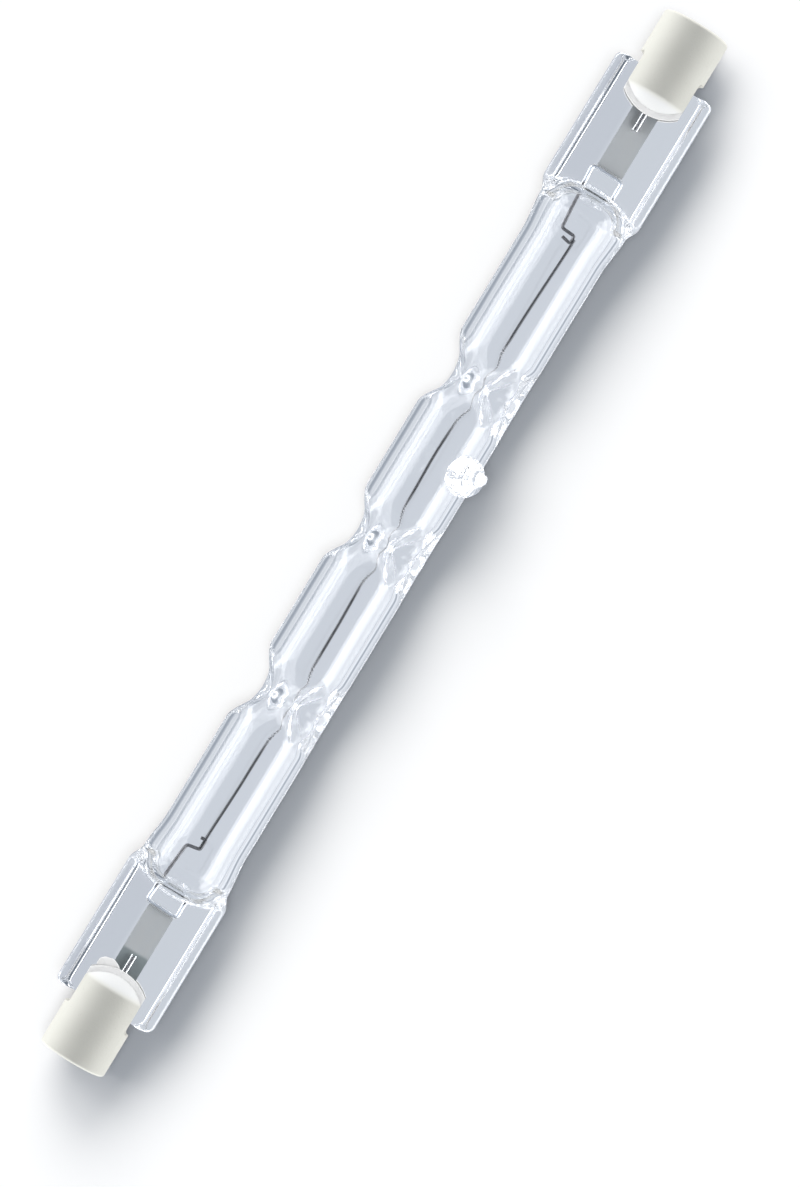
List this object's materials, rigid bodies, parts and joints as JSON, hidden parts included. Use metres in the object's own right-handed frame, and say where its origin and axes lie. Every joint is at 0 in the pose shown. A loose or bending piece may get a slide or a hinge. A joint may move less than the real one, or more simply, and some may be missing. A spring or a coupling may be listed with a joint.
{
  "type": "linear halogen bulb",
  "caption": "Double-ended linear halogen bulb: clear crimped quartz tube, coiled filament, flat pinch seals with foils, and round ceramic caps with recessed contacts.",
  "frame": {"origin": "middle of the lamp, on the glass tube's axis, halfway between the two ceramic caps' outer faces", "axes": "+X along the lamp, +Y along the width of the flat pinches, +Z out of their flat faces, up as the lamp lies"},
  "size_m": [0.1176, 0.011, 0.01],
  "materials": {
    "quartz_glass": "clear fused quartz, fire polished",
    "tungsten_coil": "dark grey drawn tungsten wire, coiled",
    "molybdenum_wire": "dull grey drawn wire",
    "molybdenum_foil": "matt grey rolled foil",
    "steatite": "cream unglazed ceramic, pressed and fired",
    "contact_metal": "satin nickel",
    "cement": "white fired cement, matt"
  },
  "bodies": {
    "root": {"glass_envelope": "quartz_glass", "filament": "tungsten_coil", "inner_lead_left": "molybdenum_wire", "inner_lead_right": "molybdenum_wire", "foil_left": "molybdenum_foil", "foil_right": "molybdenum_foil", "outer_lead_left": "molybdenum_wire", "outer_lead_right": "molybdenum_wire", "ceramic_cap_left": "steatite", "ceramic_cap_right": "steatite", "contact_left": "contact_metal", "contact_right": "contact_metal", "cement_left": "cement", "cement_right": "cement"}
  },
  "joints": []
}
